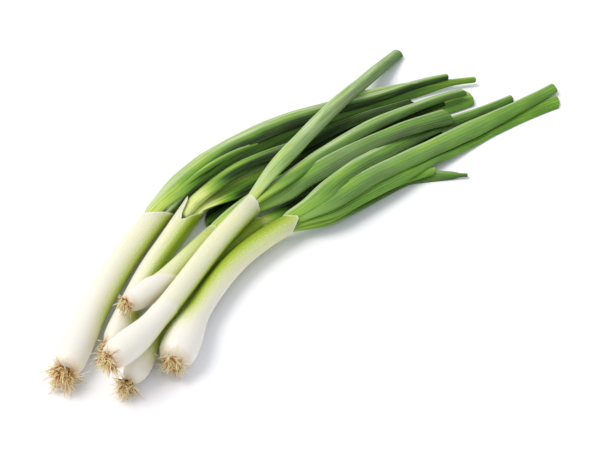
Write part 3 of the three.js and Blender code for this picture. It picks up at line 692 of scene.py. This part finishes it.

# ------------------------------------------------------------------------------------------
# The leaves: flattened green tubes with fine ribs along them and a pale wax bloom on top. They
# come out of the mouth yellow-green, darken towards their ends, and are cut off straight, so
# that the two thin walls show there. One ends in its own tip.
# ------------------------------------------------------------------------------------------

# wider, turned, shifted and lifted change a leaf's solid along its length, in millimetres from its
# start: how many times wider it is, by how many degrees it turns its face, and how far it moves
# sideways and up, since a real leaf wraps closely round its neighbours where it leaves the mouth.
# crease is the depth of the fold along it and its place across, and cut the slant and the rounding
# of the cut end. tone is the green at its start and end (0 is yellow-green, 1 dark green), fresh
# how much yellower it is close to the mouth, and the wax bloom setting how much wax is on its upper
# face. edge is a painted highlight: how strong the pale band along its left edge, which faces the
# light, is and how wide. side is painted shade: how much darker its right side, away from the
# light, is.
LEAVES = {
    "onion_1_leaf_1": {
        "wider": {0: 1.7, 30: 1.3, 60: 1.25, 110: 1.3, 150: 1.75, 185: 1.6, 222: 0.8},
        "shifted": {110: 0, 145: -1.3, 190: -1.3, 222: 0},
        "lifted": {10: 0, 40: 1.5, 100: 0, 130: 2, 223: 2},
        "crease": (0.8, 0.0), "cut": (0, 1), "tone": (0.85, 0.35), "wax_and_highlight": 0.2, "edge": (0.9, 0.1),
        "side": 0.3,
    },
    "onion_1_leaf_2": {
        "wider": {0: 0.5, 25: 0.45, 50: 0.9},
        "crease": (0.2, 0.0), "cut": (0, 2), "tone": (0.15, 0.4), "wax_and_highlight": 0.2, "edge": (0.5, 0.3),
        "side": 0.3,
    },
    "onion_1_leaf_3": {
        "wider": {0: 1.9, 20: 1.6, 45: 1.35, 100: 1.15, 150: 0.95, 212: 0.9},
        "turned": {0: 45, 30: 58, 80: 50, 120: 25, 160: 0},
        "shifted": {0: 0, 30: -2.5, 80: -2.0, 120: 0, 150: 1, 212: 1.5},
        "crease": (0.5, -0.1), "cut": (0, 1), "tone": (0.3, 0.6), "wax_and_highlight": 0.15,
        "edge": (0.95, 0.36), "side": 0.55,
    },
    # Painted shade: the right side of this leaf and of the next is painted near-black, for the deep
    # shade in the gap beside them.
    "onion_2_leaf_1": {
        "wider": {0: 1.6, 25: 1.9, 70: 1.5, 110: 1.15}, "turned": {0: 50, 30: 25, 60: 15, 120: 10},
        "shifted": {0: 0, 25: -3, 60: -2.5, 110: 0},
        "crease": (0.7, 0.3), "cut": (-2, 1), "tone": (0.15, 1.0), "fresh": 0.4, "wax_and_highlight": 0.05,
        "edge": (0.8, 0.22), "side": 0.95,
    },
    "onion_2_leaf_2": {
        "wider": {0: 1.3, 60: 1.2}, "turned": {0: 30, 60: 15, 173: 25},
        "crease": (0.7, 0.1), "cut": (0, 1), "tone": (0.15, 0.95), "fresh": 0.35, "wax_and_highlight": 0.15,
        "edge": (0.5, 0.15), "side": 0.95,
    },
    # Painted shade: this leaf is the darkest green all along, and is made wider and moved sideways
    # under the gap between the second and third onions, to darken that gap.
    "onion_3_leaf_1": {
        "wider": {0: 1.5, 10: 2.2, 30: 1.7, 90: 1.4, 130: 1},
        "shifted": {0: 7, 10: 13, 25: 15, 50: 14.5, 85: 9, 125: 2}, "lifted": {5: 0, 20: -4, 50: 0},
        "crease": (0.3, 0.0), "cut": (0, 1), "tone": (1.0, 1.0), "wax_and_highlight": 0.0, "edge": (0.1, 0.2),
        "side": 0.2,
    },
    "onion_3_leaf_2": {
        "wider": {0: 1.5, 40: 1.2, 120: 1}, "turned": {0: 10, 60: 20, 120: 10, 160: 0},
        "crease": (0.3, 0.2), "cut": (1, 1.5), "tone": (0.35, 0.45), "wax_and_highlight": 0.2,
        "edge": (0.5, 0.25), "side": 0.2,
    },
    "onion_4_leaf_1": {
        "wider": {0: 1.7, 25: 1.05, 50: 0.95}, "turned": {0: 62, 22: 50, 50: 26, 149: 26},
        "shifted": {0: -0.6, 20: 0.5, 45: 2.5, 80: 1, 110: 0},
        "crease": (0.3, 0.1), "cut": (-1, 2), "tone": (0.5, 0.68), "wax_and_highlight": 0.3,
        "edge": (0.75, 0.12), "side": 0.2,
    },
    "onion_4_leaf_2": {
        "wider": {0: 0.9, 30: 1.2, 60: 1}, "turned": {0: 0, 45: 20, 80: 5},
        "crease": (0.6, 0.2), "cut": (-1, 1), "tone": (0.35, 0.6), "wax_and_highlight": 0.2, "edge": (0.7, 0.4),
        "side": 0.25,
    },
    "onion_4_leaf_3": {
        "wider": {0: 1.15, 40: 1, 110: 0.95, 183: 0.75}, "turned": {0: 30, 40: 15, 80: 0},
        "crease": (0.0, 0.0), "cut": (1, 1.5), "tone": (0.25, 0.6), "wax_and_highlight": 0.8,
        "edge": (0.3, 0.5), "side": 0.3,
    },
    # Painted shade: this leaf is the darkest green, for the shade it lies in under the fourth onion's
    # leaves.
    "onion_5_leaf_1": {
        "crease": (0.3, 0.0), "cut": (0, 1), "tone": (0.95, 1.0), "fresh": 0.95, "wax_and_highlight": 0.0,
        "edge": (0.25, 0.3), "side": 0.3,
    },
    "onion_6_leaf_1": {
        "wider": {0: 1.5, 40: 1.1, 85: 1.3, 100: 2.4, 112: 2.2, 117: 1.2},
        "turned": {0: 35, 40: 10, 80: 12, 105: 35},
        "shifted": {15: 0, 45: 3.2, 90: 3, 110: 0.8}, "lifted": {60: 0, 90: 0.6, 105: 1.2},
        "crease": (0.2, 0.0), "cut": None, "tone": (0.4, 0.7), "wax_and_highlight": 0.2, "edge": (0.4, 0.3),
        "side": 0.1,
    },
    "onion_6_leaf_2": {
        "wider": {0: 1.15, 50: 1.05, 100: 0.6}, "turned": {0: 45, 30: 35, 60: 15},
        "shifted": {15: 0, 45: 2.2, 80: 1.2, 100: 0}, "lifted": {20: 0, 50: 0.8},
        "crease": (0.4, 0.0), "cut": (1, 1), "tone": (0.35, 0.45), "wax_and_highlight": 0.15,
        "edge": (0.6, 0.15), "side": 0.12,
    },
    "onion_6_leaf_3": {
        "wider": {0: 1.1, 60: 1.1, 201: 1.1}, "turned": {0: 45, 30: 32, 70: 20, 130: 5},
        "lifted": {20: 0, 60: 1, 150: 0},
        "crease": (0.4, 0.1), "cut": (2, 1.5), "tone": (0.46, 0.5), "wax_and_highlight": 0.12,
        "edge": (0.5, 0.12), "side": 0.15,
    },
    "onion_6_leaf_4": {
        "wider": {0: 1.2, 60: 1.1, 150: 1.2, 207: 1.1}, "turned": {0: 45, 30: 32, 70: 24, 160: 16},
        "lifted": {100: 0, 140: 0.8, 207: 0.8},
        "crease": (0.5, -0.2), "cut": (1, 1), "tone": (0.58, 0.52), "wax_and_highlight": 0.25,
        "edge": (0.6, 0.15), "side": 0.2,
    },
    "onion_6_leaf_5": {
        "wider": {0: 1.9, 25: 1.3, 50: 1}, "turned": {0: 45, 30: 30, 60: 20, 90: 0},
        "crease": (0.4, 0.0), "cut": (1, 1), "tone": (0.5, 0.62), "wax_and_highlight": 0.15,
        "edge": (0.7, 0.25), "side": 0.25,
    },
}
LEAF_STEP = 2.2 * MM
LEAF_COLUMNS = 80
COLUMNS_A_RIB = 4
LEAF_GIRTH = 26  # the size of the leaf's pattern all the way round, in millimetres
LEAF_WALL = 0.45 * MM
LEAF_FULLNESS = 2.4  # exponent of the section's outline, 2 for an ellipse
LEAF_THINNEST = 0.1 * MM
RIB_HEIGHT = 0.1 * MM
WAVES = [(0.03, 17), (0.025, 8), (0.012, 3.5)]  # how much the width wavers, over what length in mm
FRESH = 0.15  # how much yellower most leaves are close to the mouth
HIGHLIGHT_FADE = 0.15  # half the width over which the painted highlight fades, over the leaf's half width
UNDERSIDE_SHADE = 0.12  # how much painted shade darkens the lower face
CREASE_WIDTH = 0.35  # as a share of the leaf's half width
CUT_REACH = 12 * MM  # length over which the cut end is drawn out
BORE_DEPTH = 16 * MM
BORE_RINGS = 6
TUCK_BELOW, TUCK_ABOVE = 30 * MM, 70 * MM  # stretch round the mouth's rim in which leaves are held
MOUTH_WALL = 0.95 * MM  # the sheath, and the gap between it and the leaves
MOUTH_SMALLEST = 1.5 * MM
MOUTH_FAN = 0.8  # how fast the leaves may spread once they are out of the mouth
HOLD = 8  # how sharply a leaf stops at the mouth's wall
LEFT_SIDE = math.radians(38)  # the side that counts as the left, at angles round a section; it gets the painted highlight


def eased(values, s):
    """Values given at some lengths, in millimetres, eased from one to the next."""
    keys = sorted(values)
    result = np.full(np.shape(s), float(values[keys[0]]))
    for low, high in zip(keys, keys[1:]):
        result += (values[high] - values[low]) * smooth(low * MM, high * MM, s)
    return result


def tuck(points, onion):
    """Keeps points within the mouth that their leaf comes out of."""
    strand, shape = shank_lines[onion], SHANKS[onion]
    length = strand["length"]
    mouth, along = (value[0] for value in sample(strand, [length])[:2])
    height = (points - mouth) @ along
    near = np.abs(height) < TUCK_ABOVE
    beside = length + np.clip(height, -TUCK_BELOW, TUCK_ABOVE)
    centre, _, left, over, (wide, _, _) = sample(strand, beside)
    spoke = points - centre
    x, y = (spoke * left).sum(-1), (spoke * over).sum(-1)
    reach, angle = np.hypot(x, y), np.arctan2(y, x)
    rim = round_the_mouth(shape["rim"], angle) * MM
    flare = round_the_mouth(shape["flare"], angle) * MM
    room = wide - MOUTH_WALL + flare * smooth(-MOUTH_BELOW, MOUTH_ABOVE, height)
    room = room + MOUTH_FAN * np.maximum(0, height - rim - MM)
    room = np.maximum(room, MOUTH_SMALLEST)
    reach = np.maximum(reach, 1e-6)
    held = (reach**-HOLD + room**-HOLD) ** (-1 / HOLD)
    tucked = centre + spoke * np.where(near, held / reach, 1)[..., None]
    return np.where(near[..., None], tucked, points)


def leaf_skin(node, shape, seed):
    """The skin of a leaf, from its start in the mouth to its end, and back down inside it where it
    is cut off."""
    rng = np.random.default_rng(seed)
    strand = read_strand(node, ROUNDER["leaf"])
    length = strand["length"]
    angles = 2 * np.pi * np.arange(LEAF_COLUMNS) / LEAF_COLUMNS - np.pi / 2
    cos, sin = np.cos(angles), np.sin(angles)
    round_x = np.sign(cos) * np.abs(cos) ** (2 / LEAF_FULLNESS)
    round_y = np.sign(sin) * np.abs(sin) ** (2 / LEAF_FULLNESS)

    hollow = shape["cut"] is not None
    outside = np.append(np.linspace(0, length - TURN, int(length / LEAF_STEP)), length)
    inside = np.append(length, np.linspace(length - TURN, length - BORE_DEPTH, BORE_RINGS))
    after = [*inside, inside[-1]] if hollow else [length]
    stations = np.concatenate([[0.0], outside, after])
    inner = np.zeros((len(stations), 1))
    inner[-len(after) :] = hollow
    scale = np.ones((len(stations), 1))
    scale[0] = scale[-1] = 0
    s = np.repeat(stations[:, None], LEAF_COLUMNS, axis=1)
    if hollow:
        slant, rounding = shape["cut"]
        near_cut = smooth(length - CUT_REACH, length, s)
        s = s + near_cut * (slant * round_x - rounding * round_x**2) * MM

    # its face turned, and its middle line moved
    roll = strand["roll"] + np.radians(eased(shape.get("turned", {0: 0}), strand["s"]))
    if np.cos(roll[len(roll) // 2] - LEFT_SIDE) < 0:
        roll = roll + np.pi
    shifted = eased(shape.get("shifted", {0: 0}), strand["s"]) * MM
    lifted = eased(shape.get("lifted", {0: 0}), strand["s"]) * MM
    _, _, left, over, _ = sample(strand, strand["s"])
    path = strand["path"] + left * shifted[:, None] + over * lifted[:, None]
    strand = {**strand, "roll": roll, "path": path}

    # the flattened tube with its ribs and its fold
    wide, thick, _ = sample(strand, s)[4]
    wide = wide * eased(shape.get("wider", {0: 1}), s)
    opened = smooth(15 * MM, 60 * MM, s)
    wavering = sum(
        amount * np.sin(s / (pitch * MM) + rng.uniform(0, 6.28)) for amount, pitch in WAVES
    )
    wide = wide * (1 + wavering * opened) - inner * LEAF_WALL
    wide = np.maximum(wide, LEAF_THINNEST) * scale
    thick = np.maximum(thick - inner * LEAF_WALL, LEAF_THINNEST) * scale
    ribs = np.cos(2 * np.pi * np.arange(LEAF_COLUMNS) / COLUMNS_A_RIB)
    flat = smooth(0.15, 0.5, np.abs(sin))  # no ribs along the two edges
    ribbed = smooth(5 * MM, 30 * MM, s) * (1 - inner) * scale
    y = thick * round_y + np.sign(sin) * ribs * flat * RIB_HEIGHT * ribbed
    depth, at = shape["crease"]
    fold = np.exp(-(((round_x - at) / CREASE_WIDTH) ** 2))
    y = y - depth * MM * fold * opened * (scale > 0) * np.minimum(1, wide / (4 * MM))
    lowest = inner * LEAF_WALL
    points = tuck(ring_points(strand, s, wide * round_x, y, lowest), node[: len("onion_1")])
    points[..., 2] = np.maximum(points[..., 2], lowest)

    # how dark, how waxy and how striped it is, where its wet inside shows, and its painted highlight
    # and painted shade
    upper = smooth(-0.3, 0.5, sin)
    start, end = shape["tone"]
    # Painted shade: the right side, away from the light, is painted darker and has less wax.
    painted_shade_right = (1 - smooth(-0.6, 0.45, round_x)) * upper * smooth(15 * MM, 50 * MM, s)
    tone = start + (end - start) * smooth(0, 0.7 * length, s)
    tone = tone + shape["side"] * painted_shade_right + UNDERSIDE_SHADE * (1 - upper)
    tone = tone - shape.get("fresh", FRESH) * (1 - smooth(8 * MM, 35 * MM, s))
    # Painted highlight: a pale band along the left edge, on the side of the light, carried with the
    # wax.
    highlight_strength, width = shape["edge"]
    inwards = 1 - 2 * width
    painted_highlight = highlight_strength * smooth(inwards - HIGHLIGHT_FADE, inwards + HIGHLIGHT_FADE, round_x)
    painted_highlight = painted_highlight * smooth(-0.6, -0.1, sin)
    wax_and_highlight = shape["wax_and_highlight"] * upper * smooth(5 * MM, 25 * MM, s)
    wax_and_highlight = wax_and_highlight * (1 - 0.5 * smooth(0.4 * length, length, s))
    wax_and_highlight = wax_and_highlight * (1 - np.minimum(1, 1.5 * shape["side"]) * painted_shade_right)
    everywhere = np.ones_like(s)
    layers = {
        "tone": np.clip(tone, 0, 1),
        "wax_and_highlight": np.clip(wax_and_highlight + painted_highlight, 0, 1),
        "bore": inner * everywhere,
        "groove_shade": np.clip(-ribs, 0, 1) * flat * everywhere,
    }
    return wrap_skin(points, layers, (stations / MM, LEAF_GIRTH))


# Fresh onion leaf: tough and waxy, with a dull sheen. The wax is a grey-green bloom that has come
# off in stripes. The veins are 0.8 mm apart, about twice as far as real ones, so that they show.
# The darker and lighter blotches are some 20 mm long and 3 mm wide.
VEINS, BLOTCHES = (0.03, 1.3, 1), (0.05, 0.3, 1)  # to a millimetre, along the leaf and round it
leaf_blade, tree, shader = new_material("fresh_onion_leaf")
tone = add_node(tree, "ShaderNodeAttribute", {"attribute_name": "tone"}).outputs["Fac"]
wax_and_highlight = add_node(tree, "ShaderNodeAttribute", {"attribute_name": "wax_and_highlight"}).outputs["Fac"]
groove_shade = add_node(tree, "ShaderNodeAttribute", {"attribute_name": "groove_shade"}).outputs["Fac"]
bore = add_node(tree, "ShaderNodeAttribute", {"attribute_name": "bore"}).outputs["Fac"]
skin_map = add_node(tree, "ShaderNodeUVMap", {"uv_map": "skin"}).outputs["UV"]
narrow = add_node(tree, "ShaderNodeMapping", Vector=skin_map, Scale=VEINS).outputs[0]
veins = add_node(
    tree, "ShaderNodeTexNoise", Vector=narrow, Scale=1.0, Detail=5.0, Roughness=0.65
).outputs["Fac"]
broad = add_node(tree, "ShaderNodeMapping", Vector=skin_map, Scale=BLOTCHES).outputs[0]
blotches = add_node(tree, "ShaderNodeTexNoise", Vector=broad, Scale=1.0, Detail=3.0).outputs["Fac"]
veined = add_node(tree, "ShaderNodeMath", MULTIPLY_ADD, i0=veins, i1=1.0, i2=tone).outputs[0]
blotched = add_node(tree, "ShaderNodeMath", MULTIPLY_ADD, i0=blotches, i1=0.4, i2=veined).outputs[0]
# Painted shade in the grooves between the ribs.
with_groove_shade = add_node(tree, "ShaderNodeMath", MULTIPLY_ADD, i0=groove_shade, i1=0.14, i2=blotched).outputs[0]
centred = add_node(tree, "ShaderNodeMath", SUBTRACT_CLAMPED, i0=with_groove_shade, i1=0.73).outputs[0]
tones = add_node(tree, "ShaderNodeValToRGB", Fac=centred)
LEAF_TONES = {
    0.0: "dfe895", 0.14: "c0d062", 0.32: "90b53c", 0.55: "68982d", 0.78: "46701f", 1.0: "1a2a0c",
}
set_tones(tones, LEAF_TONES)
striped = add_node(tree, "ShaderNodeMath", MULTIPLY_ADD, i0=veins, i1=4.0, i2=-1.35).outputs[0]
wax_and_highlight_mask = add_node(tree, "ShaderNodeMath", MULTIPLY_CLAMPED, i0=wax_and_highlight, i1=striped).outputs[0]
# The wax colour also paints the highlight along the leaves' left edges.
WAX_AND_HIGHLIGHT_COLOUR, BORE_COLOUR = linear("c3d3a0"), linear("a5bd6c")
with_wax_and_highlight = add_node(
    tree, "ShaderNodeMix", COLOURS, i0=wax_and_highlight_mask, i6=tones.outputs[0], i7=WAX_AND_HIGHLIGHT_COLOUR
).outputs[2]
leaf_colour = add_node(tree, "ShaderNodeMix", COLOURS, i0=bore, i6=with_wax_and_highlight, i7=BORE_COLOUR)
tree.links.new(leaf_colour.outputs[2], shader.inputs["Base Color"])
ribs = add_node(tree, "ShaderNodeBump", Height=veins, Strength=0.5, Distance=0.4 * MM)
tree.links.new(ribs.outputs[0], shader.inputs["Normal"])
shader.inputs["Roughness"].default_value = 0.48
shader.inputs["IOR"].default_value = 1.4
shader.inputs["Specular IOR Level"].default_value = 0.2
shader.inputs["Subsurface Weight"].default_value = 0.12
shader.inputs["Subsurface Radius"].default_value = (0.6, 1.0, 0.3)
shader.inputs["Subsurface Scale"].default_value = 1.5 * MM

for seed, (node, shape) in enumerate(LEAVES.items()):
    finish_piece(leaf_skin(node, shape, seed), f"{node}_blade", leaf_blade, [node])
